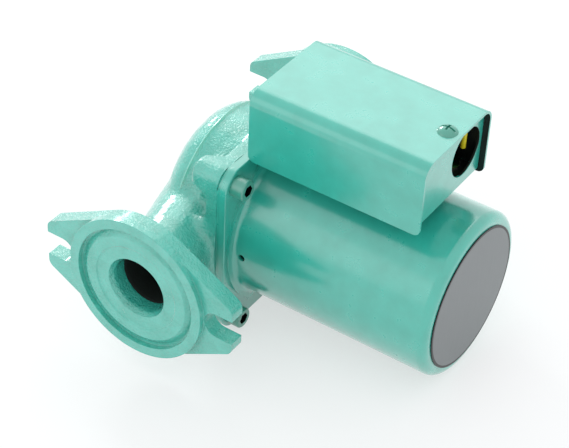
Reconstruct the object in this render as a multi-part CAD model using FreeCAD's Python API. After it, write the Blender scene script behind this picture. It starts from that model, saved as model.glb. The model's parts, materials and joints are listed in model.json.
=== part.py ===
import FreeCAD, Part
import math
import os

# In-line wet-rotor centrifugal water pump (circulator).
# Millimetres.  The origin is the centre of the suction flange face.
# +Y is the way the water flows, +X runs along the motor shaft towards the
# closed end of the motor, +Z is up, towards the terminal box.

V = FreeCAD.Vector
X_AXIS, Y_AXIS, Z_AXIS = V(1, 0, 0), V(0, 1, 0), V(0, 0, 1)

# ---- driving dimensions: water ports ---------------------------------------
PORT_SPAN = 162.0          # suction face to discharge face
BORE_R = 12.7              # clear bore of both ports
MOUTH_R = 14.4             # lead-in of the bore at the flange face
MOUTH_DEPTH = 3.2
FACE_R = 34.0              # raised round face
FACE_PROUD = 2.5           # raised face stands this far in front of the ears
FLANGE_T = 10.0            # whole flange, face to back
GROOVE_R = 29.4            # gasket groove, outer wall
GROOVE_DEPTH = 2.7
GROOVE_FLOOR_W = 1.2
LAND_R = 25.5              # inner land inside the groove
LAND_DROP = 0.9            # land lies this far below the raised face
STEP_R = 20.2              # shallow cast step in the land
STEP_DROP = 0.5
EAR_TIP = 48.0             # half length over the ears
EAR_HALF_W = 13.0
EAR_CORNER_R = 4.0
BOLT_SPACING = 80.2        # flange bolts, centre to centre
SLOT_R = 6.0               # half width of the open bolt slots
NECK_R = 15.6              # outside of the casting behind the flange
NECK_BLEND_R = 4.0

# ---- driving dimensions: casing --------------------------------------------
CASING_R = 39.5            # outside of the round casing
RIDGE_X = -11.0            # crease between the round wall and the dome
DOME_DEPTH = 18.0
RIDGE_PROUD = 0.5
CASING_WALL = 4.5
CHAMBER_BACK_X = -1.0
JOINT_X = 14.0             # joint face between casing and motor
CASING_FLANGE_T = 5.0
PLATE_MARGIN = 7.5         # square bolting flange, past the bolt centres
PLATE_CORNER_R = 10.0
SPOT_FACE_MARGIN = 2.0     # machined joint face, past the plates
LUG_R = 7.5
LUG_BACK_X = 0.0
GASKET_W = 2.2
GASKET_T = 1.6

# ---- driving dimensions: hydraulics ----------------------------------------
EYE_R = 11.5
IMPELLER_R = 28.0
VANE_COUNT = 6
VANE_T = 1.4
VANE_W = 5.0
SHROUD_T = 1.4
BACK_PLATE_T = 1.6
IMPELLER_X = 0.8           # front of the impeller shroud
SUCTION_R = 8.5            # passage behind the chamber
SUCTION_X = -14.0

# ---- driving dimensions: cartridge and rotor --------------------------------
SHAFT_R = 4.0
SHAFT_BORE_R = 1.0
CARTRIDGE_T = 1.6
CAN_R = 19.1               # thin rotor can, outside
CAN_WALL = 0.6
BEARING_R = 7.0
BEARING_HOLDER_T = 2.0
FRONT_BEARING_L = 13.8
REAR_BEARING_L = 10.0
BEARING_PLATE_R = 24.0
BEARING_PLATE_T = 1.8
ROTOR_GAP = 0.6            # rotor core to the inside of the can
CORE_X = 30.0
CORE_L = 45.0
END_RING_T = 3.0
THRUST_WASHER_T = 1.9
REAR_BEARING_X = 82.0

# ---- driving dimensions: motor ----------------------------------------------
HOUSING_R = 37.5
HOUSING_WALL = 1.3
HOUSING_END_X = 114.8
HOUSING_SHOULDER_R = 4.0
HOUSING_RIM_W = 4.0        # rim of the shell against the motor flange
HOUSING_RIM_BLEND_R = 2.0
MOTOR_FLANGE_T = 3.1
STATOR_SLOTS = 12
SLOT_W = 4.6
SLOT_OPENING = 1.6
SLOT_ROOT_R = 30.0
TOOTH_TIP_T = 1.6
END_TURN_L = 8.0
DRAIN_R = 1.6
DRAIN_LAND = 0.4           # drain hole past the blend at the shell's foot
NAMEPLATE_R = 32.5
NAMEPLATE_T = 0.5
BOLT_R = 3.175             # quarter-inch socket-head cap screws
BOLT_HEAD_R = 4.75
BOLT_HEAD_H = 6.35
BOLT_HEAD_GAP = 4.0        # between a bolt head and the rim of the shell
BOLT_SOCKET_AF = 4.8
BOLT_LENGTH = 15.0

# ---- driving dimensions: terminal box ---------------------------------------
BOX_SETBACK = 0.7          # cover edge behind the motor flange's outer face
BOX_LENGTH = 83.0
BOX_HALF_W = 26.5
BOX_H = 32.0               # underside of the base to the top of the cover
FLAP_OVERHANG = 2.0        # cover flaps reach this far below the base
SHEET_T = 1.2
COVER_BEND_R = 6.5         # outside radius of the cover bends
FLAP_CORNER_R = 3.0
SADDLE_H = 7.5             # base above the crown of the motor shell
BASE_RECESS = 2.6          # conduit end plate behind the cover edge
BASE_PROUD = 0.6           # other end plate in front of the cover edge
CONDUIT_R = 11.1
CONDUIT_OFFSET = 12.0      # towards the discharge side
CONDUIT_UP = 16.0          # conduit centre above the underside of the base
COVER_SCREW_INSET = 6.0    # from the end of the cover
SCREW_R = 2.0
SCREW_HEAD_R = 4.4
LEAD_HOLE_R = 7.0
SADDLE_BACK = 41.0         # saddle, from the cable hole towards the casing
SADDLE_FRONT = 13.0        # and towards the motor's closed end
SADDLE_HALF_W = 15.0
CAPACITOR_R = 11.0
CAPACITOR_L = 38.0
CAPACITOR_H = 18.0
LEAD_R = 1.2
LEAD_CIRCLE_R = 3.2        # leads stand in a ring inside the grommet
LEAD_BEND_R = 3.5

# ---- clearances --------------------------------------------------------------
RUNNING_FIT = 0.05         # shaft in bearing
FIT = 0.06                 # parts that are fitted and stay still
SHEET_GAP = 0.2            # sheet parts sliding over each other
AIR_GAP = 0.3              # moving part beside a still one

# ---- derived -------------------------------------------------------------------
SHAFT_Y = PORT_SPAN / 2
HOUSING_RIM_R = HOUSING_R + HOUSING_RIM_W
BOLT_OFFSET = (HOUSING_RIM_R + BOLT_HEAD_GAP + BOLT_HEAD_R) / math.sqrt(2)
PLATE_HALF = BOLT_OFFSET + PLATE_MARGIN
CHAMBER_R = CASING_R - CASING_WALL
CARTRIDGE_X = JOINT_X
MOTOR_PLATE_X = CARTRIDGE_X + CARTRIDGE_T
MOTOR_FACE_X = MOTOR_PLATE_X + MOTOR_FLANGE_T
BOX_X = MOTOR_FACE_X - BOX_SETBACK
BOX_END_X = BOX_X + BOX_LENGTH
COVER_SCREW_X = BOX_END_X - COVER_SCREW_INSET
BASE_BOTTOM = HOUSING_R + SADDLE_H
BOX_TOP = BASE_BOTTOM + BOX_H
FLAP_BOTTOM = BASE_BOTTOM - FLAP_OVERHANG
CONDUIT_Z = BASE_BOTTOM + CONDUIT_UP
FRONT_BEARING_X = JOINT_X - BEARING_PLATE_T
HOUSING_INNER_R = HOUSING_R - HOUSING_WALL
CAN_INNER_R = CAN_R - CAN_WALL
HOLDER_R = BEARING_R + BEARING_HOLDER_T
CAN_SHOULDER_X = REAR_BEARING_X - 2.0
CAN_END_X = REAR_BEARING_X + REAR_BEARING_L + 2.0 + CAN_WALL
CORE_END_X = CORE_X + CORE_L
LEAD_X = CORE_END_X + 4.0  # cable hole between motor and box
SADDLE_X0 = LEAD_X - SADDLE_BACK
SADDLE_X1 = LEAD_X + SADDLE_FRONT
BASE_X0 = BOX_X - BASE_PROUD
BASE_X1 = BOX_END_X - BASE_RECESS
BASE_HALF_W = BOX_HALF_W - SHEET_T - SHEET_GAP
BASE_TOP = BOX_TOP - SHEET_T - SHEET_GAP
BASE_FLOOR = BASE_BOTTOM + SHEET_T


# ---- helpers --------------------------------------------------------------------
def at_shaft(x, dy=0.0, z=0.0):
    """A point given by its distances from the shaft axis."""
    return V(x, SHAFT_Y + dy, z)


def rod_x(radius, x0, x1, dy=0.0, z=0.0):
    return Part.makeCylinder(radius, x1 - x0, at_shaft(x0, dy, z), X_AXIS)


def tube_x(outer, inner, x0, x1, dy=0.0, z=0.0):
    return rod_x(outer, x0, x1, dy, z).cut(rod_x(inner, x0 - 1, x1 + 1, dy, z))


def rod_y(radius, y0, y1, x=0.0, z=0.0):
    return Part.makeCylinder(radius, y1 - y0, V(x, y0, z), Y_AXIS)


def rod_z(radius, z0, z1, x, dy=0.0):
    return Part.makeCylinder(radius, z1 - z0, at_shaft(x, dy, z0), Z_AXIS)


def block(x0, x1, dy0, dy1, z0, z1):
    return Part.makeBox(x1 - x0, dy1 - dy0, z1 - z0, at_shaft(x0, dy0, z0))


def fused(shapes):
    first, rest = shapes[0], list(shapes[1:])
    return first.multiFuse(rest).removeSplitter() if rest else first


def turned_about_shaft(shape, degrees):
    copy = shape.copy()
    copy.rotate(at_shaft(0), X_AXIS, degrees)
    return copy


def revolved_x(points):
    """Solid of revolution about the shaft axis from (x, radius) corners."""
    corners = [at_shaft(x, 0, r) for x, r in points]
    face = Part.Face(Part.makePolygon(corners + corners[:1]))
    return face.revolve(at_shaft(0), X_AXIS, 360)


def rounded_square_x(half, corner_r, x0, x1):
    """Square plate with round corners, normal to the shaft."""
    plate = block(x0, x1, -half, half, -half, half)
    edges = [e for e in plate.Edges if abs(abs(e.tangentAt(e.FirstParameter).x) - 1) < 1e-6]
    return plate.makeFillet(corner_r, edges)


def bolt_places():
    return [(a * BOLT_OFFSET, b * BOLT_OFFSET) for a in (-1, 1) for b in (-1, 1)]


def hex_rod_z(across_flats, z0, z1, x, dy=0.0):
    r = across_flats / math.sqrt(3)
    pts = [at_shaft(x + r * math.cos(math.radians(60 * i)),
                    dy + r * math.sin(math.radians(60 * i)), z0) for i in range(7)]
    return Part.Face(Part.makePolygon(pts)).extrude(V(0, 0, z1 - z0))


def hex_rod_x(across_flats, x0, x1, dy=0.0, z=0.0):
    r = across_flats / math.sqrt(3)
    pts = [at_shaft(x0, dy + r * math.cos(math.radians(60 * i)),
                    z + r * math.sin(math.radians(60 * i))) for i in range(7)]
    return Part.Face(Part.makePolygon(pts)).extrude(V(x1 - x0, 0, 0))


def bent_rod(points, radius, bend_r):
    """A round rod along straight runs joined by tangent arcs."""
    edges, start = [], points[0]
    for before, corner, after in zip(points, points[1:], points[2:]):
        into = (corner - before).normalize()
        out = (after - corner).normalize()
        turn = into.getAngle(out)
        back = bend_r * math.tan(turn / 2)
        p0, p1 = corner - into * back, corner + out * back
        inward = (out - into).normalize()
        centre_dist = bend_r / math.cos(turn / 2)
        mid = corner + inward * (centre_dist - bend_r)
        edges += [Part.LineSegment(start, p0).toShape(), Part.Arc(p0, mid, p1).toShape()]
        start = p1
    edges.append(Part.LineSegment(start, points[-1]).toShape())
    path = Part.Wire(edges)
    direction = points[1] - points[0]
    section = Part.Wire([Part.makeCircle(radius, points[0], direction)])
    return path.makePipeShell([section], True, True)


def save(name, shape):
    shape.exportStep("parts/%s.step" % name)


# ---- port flanges -----------------------------------------------------------------
def ear_outline(radius, y):
    """Outline of one flange: a disc with a square ear to either side."""
    tip, side = EAR_TIP - EAR_CORNER_R, EAR_HALF_W - EAR_CORNER_R
    spread = math.hypot(tip, side)
    angle = math.atan2(side, tip) + math.acos((radius - EAR_CORNER_R) / spread)
    nx, nz = math.cos(angle), math.sin(angle)

    def quarter(sx, sz):
        disc = V(sx * radius * nx, y, sz * radius * nz)
        corner = V(sx * (tip + EAR_CORNER_R * nx), y, sz * (side + EAR_CORNER_R * nz))
        half = angle / 2
        mid = V(sx * (tip + EAR_CORNER_R * math.cos(half)), y,
                sz * (side + EAR_CORNER_R * math.sin(half)))
        end = V(sx * EAR_TIP, y, sz * side)
        return disc, corner, mid, end

    d1, c1, m1, e1 = quarter(1, 1)
    d2, c2, m2, e2 = quarter(1, -1)
    d3, c3, m3, e3 = quarter(-1, -1)
    d4, c4, m4, e4 = quarter(-1, 1)
    line = lambda a, b: Part.LineSegment(a, b).toShape()
    arc = lambda a, m, b: Part.Arc(a, m, b).toShape()
    return Part.Wire([
        arc(d4, V(0, y, radius), d1), line(d1, c1), arc(c1, m1, e1), line(e1, e2),
        arc(e2, m2, c2), line(c2, d2), arc(d2, V(0, y, -radius), d3), line(d3, c3),
        arc(c3, m3, e3), line(e3, e4), arc(e4, m4, c4), line(c4, d4)])


def port_flange():
    """Suction flange with its face at y = 0, bolt slots cut, bore still closed."""
    ears = Part.Face(ear_outline(FACE_R - 1.0, FACE_PROUD)).extrude(V(0, FLANGE_T - FACE_PROUD, 0))
    flange = ears.fuse(rod_y(FACE_R, 0, FACE_PROUD + 1.5))
    for side in (-1, 1):
        x = side * BOLT_SPACING / 2
        slot = rod_y(SLOT_R, -1, FLANGE_T + 1, x)
        reach = EAR_TIP - BOLT_SPACING / 2 + 1
        way_out = Part.makeBox(reach, FLANGE_T + 2, 2 * SLOT_R, V(min(x, x + side * reach), -1, -SLOT_R))
        flange = flange.cut(slot.fuse(way_out))
    return flange


def port_face_cuts():
    """Gasket groove, land and shallow cast step of one flange face."""
    groove = [(GROOVE_R, -1), (GROOVE_R, GROOVE_DEPTH), (GROOVE_R - GROOVE_FLOOR_W, GROOVE_DEPTH),
              (LAND_R, LAND_DROP), (STEP_R + STEP_DROP, LAND_DROP),
              (STEP_R, LAND_DROP + STEP_DROP), (0, LAND_DROP + STEP_DROP), (0, -1)]
    pts = [V(r, y, 0) for r, y in groove]
    face = Part.Face(Part.makePolygon(pts + pts[:1]))
    cut = face.revolve(V(0, 0, 0), Y_AXIS, 360)
    mouth = Part.makeCone(MOUTH_R, BORE_R, MOUTH_DEPTH, V(0, LAND_DROP + STEP_DROP, 0), Y_AXIS)
    return cut.fuse(mouth)


def skew_neck(r0, x0, y0, r1, x1, y1):
    """Round passage or neck between two parallel circles."""
    ends = [Part.Wire([Part.makeCircle(r, V(x, y, 0), Y_AXIS)]) for r, x, y in
            ((r0, x0, y0), (r1, x1, y1))]
    return Part.makeLoft(ends, True, True)


def mirrored_port(shape):
    return shape.mirror(V(0, SHAFT_Y, 0), Y_AXIS)


# ---- volute casing -------------------------------------------------------------------
SUCTION_TURN_Y = SHAFT_Y - CHAMBER_R - 1.0     # passage is behind the chamber from here
SUCTION_NECK_R = SUCTION_R + 11.0
DISCHARGE_NECK_R = NECK_R + 4.0


def casing_outside():
    ellipse = Part.Ellipse(at_shaft(RIDGE_X, 0, CASING_R), at_shaft(RIDGE_X - DOME_DEPTH),
                           at_shaft(RIDGE_X))
    dome_arc = Part.ArcOfEllipse(ellipse, 0, math.pi / 2).toShape()
    ends = [v.Point for v in dome_arc.Vertexes]
    rim = max(ends, key=lambda p: p.z)
    apex = min(ends, key=lambda p: p.z)
    front = at_shaft(JOINT_X, 0, CASING_R)
    front_axis = at_shaft(JOINT_X)
    profile = Part.Wire(Part.__sortEdges__([
        dome_arc, Part.LineSegment(rim, front).toShape(),
        Part.LineSegment(front, front_axis).toShape(),
        Part.LineSegment(front_axis, apex).toShape()]))
    drum = Part.Face(profile).revolve(at_shaft(0), X_AXIS, 360)

    suction = skew_neck(NECK_R, 0, FLANGE_T - 1, SUCTION_NECK_R, SUCTION_X + 6.0, SHAFT_Y - 26.0)
    discharge = skew_neck(NECK_R, 0, PORT_SPAN - FLANGE_T + 1, DISCHARGE_NECK_R, -6.5, SHAFT_Y + 26.0)
    flange_in = port_flange()
    parts = [drum, suction, discharge, flange_in, mirrored_port(flange_in)]
    parts.append(rounded_square_x(PLATE_HALF, PLATE_CORNER_R, JOINT_X - CASING_FLANGE_T, JOINT_X))
    for dy, dz in bolt_places():
        parts.append(rod_x(LUG_R, LUG_BACK_X, JOINT_X, dy, dz))
        web = block(LUG_BACK_X, JOINT_X, 0, math.hypot(dy, dz), -LUG_R, LUG_R)
        parts.append(turned_about_shaft(web, math.degrees(math.atan2(dz, dy))))
    ridge = tube_x(CASING_R + RIDGE_PROUD, CASING_R - 1, RIDGE_X, RIDGE_X + 1.2)
    parts.append(ridge)
    return fused(parts)


def casing_inside():
    chamber = rod_x(CHAMBER_R, CHAMBER_BACK_X, JOINT_X + 1)
    turn_start = SUCTION_TURN_Y - 21.0
    suction = rod_y(BORE_R, -1, turn_start)
    bend = skew_neck(BORE_R, 0, turn_start, SUCTION_R, SUCTION_X, SUCTION_TURN_Y)
    behind = rod_y(SUCTION_R, SUCTION_TURN_Y, SHAFT_Y, SUCTION_X)
    eye_pocket = Part.makeSphere(EYE_R, at_shaft(CHAMBER_BACK_X - EYE_R))
    eye = rod_x(EYE_R, CHAMBER_BACK_X - EYE_R, CHAMBER_BACK_X + 1)

    depth = JOINT_X - CHAMBER_BACK_X
    outlet_r = depth / 2 - 2.0
    outlet_x = CHAMBER_BACK_X + outlet_r + 0.5
    outlet_y = SHAFT_Y + CHAMBER_R - 8.0
    outlet = skew_neck(outlet_r, outlet_x, outlet_y, BORE_R, 0, outlet_y + 24.0)
    discharge = rod_y(BORE_R, outlet_y + 24.0, PORT_SPAN + 1)
    return [chamber, suction, bend, behind, eye_pocket, eye, outlet, discharge]


def volute_casing():
    casing = casing_outside()
    backs = (FLANGE_T, PORT_SPAN - FLANGE_T)
    blends = [e for e in casing.Edges if e.BoundBox.YLength < 1e-3
              and abs(e.BoundBox.ZLength - 2 * NECK_R) < 1.5
              and min(abs(e.BoundBox.YMin - y) for y in backs) < 1e-3]
    casing = casing.makeFillet(NECK_BLEND_R, blends)
    for hollow in casing_inside():
        casing = casing.cut(hollow)
    casing = casing.cut(joint_spot_face())
    face_cuts = port_face_cuts()
    casing = casing.cut(face_cuts).cut(mirrored_port(face_cuts))
    groove = tube_x(gasket_outer_r() + FIT, gasket_outer_r() - GASKET_W - FIT,
                    JOINT_X - GASKET_T, JOINT_X + 1)
    casing = casing.cut(groove)
    for dy, dz in bolt_places():
        casing = casing.cut(rod_x(BOLT_R + FIT, bolt_end_x() - 1.5, JOINT_X + 1, dy, dz))
    return casing


def joint_spot_face():
    """The joint face is machined on past the plates, across the necks' bulge."""
    reach = PLATE_HALF + SPOT_FACE_MARGIN
    return block(JOINT_X, JOINT_X + BOLT_LENGTH, -reach, reach, -PLATE_HALF, PLATE_HALF)


def gasket_outer_r():
    return CHAMBER_R + CASING_WALL / 2 + GASKET_W / 2


def bolt_end_x():
    return MOTOR_FACE_X - BOLT_LENGTH


def casing_gasket():
    outer = gasket_outer_r()
    return tube_x(outer, outer - GASKET_W, JOINT_X - GASKET_T, JOINT_X)


# ---- impeller and rotor ------------------------------------------------------------------
VANE_X = IMPELLER_X + SHROUD_T
BACK_PLATE_X = VANE_X + VANE_W
HUB_END_X = FRONT_BEARING_X - 2 * AIR_GAP
HUB_R = 7.0
EYE_RING_R = EYE_R - 0.4
EYE_RING_T = 1.2
VANE_START_R = EYE_R + 0.5
SHAFT_X0 = VANE_X
SHAFT_X1 = REAR_BEARING_X + REAR_BEARING_L - 0.5


def impeller_vane():
    """One backward-curved vane, an arc from the eye to the rim."""
    bend_r = 0.8 * IMPELLER_R
    centre = 0.62 * IMPELLER_R
    shell = tube_x(bend_r + VANE_T / 2, bend_r - VANE_T / 2, VANE_X, BACK_PLATE_X, centre)
    ring = tube_x(IMPELLER_R - 0.3, VANE_START_R, VANE_X, BACK_PLATE_X)
    half = block(VANE_X - 1, BACK_PLATE_X + 1, -2 * IMPELLER_R, 2 * IMPELLER_R, 0, 2 * IMPELLER_R)
    return shell.common(ring).common(half)


def impeller():
    parts = [rod_x(IMPELLER_R, BACK_PLATE_X, BACK_PLATE_X + BACK_PLATE_T),
             rod_x(HUB_R, VANE_X, HUB_END_X)]
    vane = impeller_vane()
    parts += [turned_about_shaft(vane, i * 360.0 / VANE_COUNT) for i in range(VANE_COUNT)]
    body = fused(parts)
    return body.cut(rod_x(SHAFT_R, SHAFT_X0 - 1, HUB_END_X + 1))


def impeller_shroud():
    disc = tube_x(IMPELLER_R, EYE_RING_R - EYE_RING_T, IMPELLER_X, VANE_X)
    ring = tube_x(EYE_RING_R, EYE_RING_R - EYE_RING_T, CHAMBER_BACK_X - 3.5, VANE_X)
    return disc.fuse(ring).removeSplitter()


def rotor_shaft():
    shaft = rod_x(SHAFT_R, SHAFT_X0, SHAFT_X1)
    rims = [e for e in shaft.Edges if e.BoundBox.XLength < 1e-3]
    shaft = shaft.makeChamfer(0.4, rims)
    return shaft.cut(rod_x(SHAFT_BORE_R, SHAFT_X0 - 1, SHAFT_X1 + 1))


ROTOR_R = CAN_INNER_R - ROTOR_GAP
THRUST_X = FRONT_BEARING_X + FRONT_BEARING_L + AIR_GAP
THRUST_R = BEARING_R + 1.0
END_RING_INNER_R = THRUST_R + 1.0


def rotor_core():
    return tube_x(ROTOR_R, SHAFT_R, CORE_X, CORE_END_X)


def rotor_end_rings():
    spans = ((CORE_X - END_RING_T, CORE_X), (CORE_END_X, CORE_END_X + END_RING_T))
    return Part.makeCompound([tube_x(ROTOR_R - 0.4, END_RING_INNER_R, a, b) for a, b in spans])


def thrust_washer():
    return tube_x(THRUST_R, SHAFT_R, THRUST_X, THRUST_X + THRUST_WASHER_T)


def thrust_cushion():
    return tube_x(THRUST_R - 0.5, SHAFT_R, THRUST_X + THRUST_WASHER_T, CORE_X)


# ---- cartridge ------------------------------------------------------------------------------
def cartridge_flange():
    plate = rounded_square_x(PLATE_HALF - 0.6, PLATE_CORNER_R - 0.6, CARTRIDGE_X, MOTOR_PLATE_X)
    plate = plate.cut(rod_x(CAN_R, CARTRIDGE_X - 1, MOTOR_PLATE_X + 1))
    for dy, dz in bolt_places():
        plate = plate.cut(rod_x(BOLT_R + 2 * FIT, CARTRIDGE_X - 1, MOTOR_PLATE_X + 1, dy, dz))
    return plate


def rotor_can():
    wall, r = CAN_WALL, CAN_R
    nose = HOLDER_R + FIT + wall
    return revolved_x([
        (CARTRIDGE_X, r), (CAN_SHOULDER_X, r), (CAN_SHOULDER_X, nose), (CAN_END_X, nose),
        (CAN_END_X, 0), (CAN_END_X - wall, 0), (CAN_END_X - wall, nose - wall),
        (CAN_SHOULDER_X - wall, nose - wall), (CAN_SHOULDER_X - wall, r - wall),
        (CARTRIDGE_X, r - wall)])


def front_bearing_plate():
    disc = rod_x(BEARING_PLATE_R, FRONT_BEARING_X, JOINT_X)
    hub = rod_x(BEARING_R + 3.0, FRONT_BEARING_X, FRONT_BEARING_X + FRONT_BEARING_L - 1.0)
    plate = disc.fuse(hub)
    vent = rod_x(1.5, FRONT_BEARING_X - 1, JOINT_X + 1, 0, (BEARING_R + CAN_INNER_R) / 2 + 1)
    for i in range(4):
        plate = plate.cut(turned_about_shaft(vent, 45 + 90 * i))
    return plate.cut(rod_x(BEARING_R, FRONT_BEARING_X - 1, THRUST_X + 1)).removeSplitter()


def bearing(x0, length):
    return tube_x(BEARING_R, SHAFT_R + RUNNING_FIT, x0, x0 + length)


def rear_bearing_holder():
    x1 = REAR_BEARING_X + REAR_BEARING_L
    cup = rod_x(HOLDER_R, REAR_BEARING_X - 1.5, x1 + 2.0)
    bore = rod_x(BEARING_R, REAR_BEARING_X - 2, x1)
    return cup.cut(bore).cut(rod_x(SHAFT_R, x1 - 1, x1 + 3))


# ---- motor --------------------------------------------------------------------------------------
def motor_flange():
    plate = rounded_square_x(PLATE_HALF, PLATE_CORNER_R, MOTOR_PLATE_X, MOTOR_FACE_X)
    front = [e for e in plate.Edges if abs(e.BoundBox.XMin - MOTOR_FACE_X) < 1e-6
             and e.BoundBox.XLength < 1e-6]
    plate = plate.makeFillet(0.6, front)
    plate = plate.cut(rod_x(CAN_R + 0.5, MOTOR_PLATE_X - 1, MOTOR_FACE_X + 1))
    for dy, dz in bolt_places():
        plate = plate.cut(rod_x(BOLT_R + 2 * FIT, MOTOR_PLATE_X - 1, MOTOR_FACE_X + 1, dy, dz))
    return plate


def motor_housing():
    outer = rod_x(HOUSING_R, MOTOR_FACE_X, HOUSING_END_X)
    shoulder = [e for e in outer.Edges if abs(e.BoundBox.XMin - HOUSING_END_X) < 1e-6]
    outer = outer.makeFillet(HOUSING_SHOULDER_R, shoulder)
    rim = rod_x(HOUSING_RIM_R, MOTOR_FACE_X, MOTOR_FACE_X + HOUSING_WALL)
    shell = outer.fuse(rim).removeSplitter()
    foot = [e for e in shell.Edges if e.BoundBox.XLength < 1e-3
            and abs(e.BoundBox.ZLength - 2 * HOUSING_R) < 1e-3
            and abs(e.BoundBox.XMin - MOTOR_FACE_X - HOUSING_WALL) < 1e-3]
    shell = shell.makeFillet(HOUSING_RIM_BLEND_R, foot)
    inner = rod_x(HOUSING_INNER_R, MOTOR_FACE_X - 1, HOUSING_END_X - HOUSING_WALL)
    inner_end = [e for e in inner.Edges if abs(e.BoundBox.XMin - HOUSING_END_X + HOUSING_WALL) < 1e-6]
    inner = inner.makeFillet(HOUSING_SHOULDER_R - HOUSING_WALL, inner_end)
    shell = shell.cut(inner)
    drain_x = MOTOR_FACE_X + HOUSING_WALL + HOUSING_RIM_BLEND_R + DRAIN_LAND + DRAIN_R
    across = Part.makeCylinder(DRAIN_R, 2 * HOUSING_R + 2, at_shaft(drain_x, -HOUSING_R - 1), Y_AXIS)
    shell = shell.cut(across)
    shell = shell.cut(rod_z(DRAIN_R, -HOUSING_R - 1, 0, drain_x))
    return shell.cut(rod_z(LEAD_HOLE_R, 0, HOUSING_R + 1, LEAD_X))


STATOR_R = HOUSING_INNER_R - FIT
STATOR_BORE_R = CAN_R + FIT
TOOTH_TIP_R = STATOR_BORE_R + TOOTH_TIP_T
SLOT_MID_R = (TOOTH_TIP_R + SLOT_ROOT_R) / 2


def stator_core():
    core = tube_x(STATOR_R, STATOR_BORE_R, CORE_X, CORE_END_X)
    slot = block(CORE_X - 1, CORE_END_X + 1, -SLOT_W / 2, SLOT_W / 2, TOOTH_TIP_R, SLOT_ROOT_R)
    opening = block(CORE_X - 1, CORE_END_X + 1, -SLOT_OPENING / 2, SLOT_OPENING / 2,
                    STATOR_BORE_R - 1, TOOTH_TIP_R + 1)
    cutter = slot.fuse(opening)
    for i in range(STATOR_SLOTS):
        core = core.cut(turned_about_shaft(cutter, i * 360.0 / STATOR_SLOTS))
    return core


def winding(r0, r1, overhang):
    """Coil sides in every slot, joined by end turns past both ends of the core."""
    bar = block(CORE_X - 1, CORE_END_X + 1, -SLOT_W / 2 + FIT, SLOT_W / 2 - FIT, r0, r1)
    parts = [tube_x(r1, r0, CORE_X - overhang, CORE_X - 1),
             tube_x(r1, r0, CORE_END_X + 1, CORE_END_X + overhang)]
    parts += [turned_about_shaft(bar, i * 360.0 / STATOR_SLOTS) for i in range(STATOR_SLOTS)]
    return fused(parts)


def main_winding():
    return winding(SLOT_MID_R + FIT, SLOT_ROOT_R - 0.3, END_TURN_L)


def start_winding():
    return winding(TOOTH_TIP_R + FIT, SLOT_MID_R - FIT, END_TURN_L - 1.5)


def nameplate():
    return rod_x(NAMEPLATE_R, HOUSING_END_X, HOUSING_END_X + NAMEPLATE_T)


def housing_bolts():
    bolts = []
    for dy, dz in bolt_places():
        head = rod_x(BOLT_HEAD_R, MOTOR_FACE_X, MOTOR_FACE_X + BOLT_HEAD_H, dy, dz)
        rim = [e for e in head.Edges if abs(e.BoundBox.XMin - MOTOR_FACE_X - BOLT_HEAD_H) < 1e-6]
        head = head.makeChamfer(0.5, rim)
        socket = hex_rod_x(BOLT_SOCKET_AF, MOTOR_FACE_X + BOLT_HEAD_H - 3.2,
                           MOTOR_FACE_X + BOLT_HEAD_H + 1, dy, dz)
        shank = rod_x(BOLT_R, bolt_end_x(), MOTOR_FACE_X + 1, dy, dz)
        bolts.append(head.fuse(shank).removeSplitter().cut(socket))
    return Part.makeCompound(bolts)


# ---- terminal box ------------------------------------------------------------------------------------
def box_saddle():
    """Moulded seat that carries the box on the round motor housing."""
    seat = block(SADDLE_X0, SADDLE_X1, -SADDLE_HALF_W, SADDLE_HALF_W, 0, BASE_BOTTOM)
    seat = seat.cut(rod_x(HOUSING_R + FIT, SADDLE_X0 - 1, SADDLE_X1 + 1))
    uprights = [e for e in seat.Edges if e.BoundBox.ZLength > 5 and e.BoundBox.XLength < 1e-6
                and e.BoundBox.YLength < 1e-6]
    seat = seat.makeFillet(5.0, uprights)
    seat = seat.cut(rod_z(LEAD_HOLE_R, 0, BASE_BOTTOM + 1, LEAD_X))
    for x in box_screw_places():
        seat = seat.cut(rod_z(SCREW_R + FIT, 0, BASE_BOTTOM + 1, x, BOX_SCREW_DY))
    return seat


BOX_SCREW_DY = 8.0


def box_screw_places():
    return (SADDLE_X0 + 12.0, LEAD_X - 13.0)


def lead_grommet():
    low, high = HOUSING_INNER_R, BASE_FLOOR + 1.5
    body = rod_z(LEAD_HOLE_R - FIT, low, high, LEAD_X)
    lip = rod_z(LEAD_HOLE_R + 1.8, BASE_FLOOR, high, LEAD_X)
    return body.fuse(lip).removeSplitter().cut(rod_z(LEAD_HOLE_R - 2.2, low - 1, high + 1, LEAD_X))


SCREW_TAB_X0 = COVER_SCREW_X - 7.0


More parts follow.
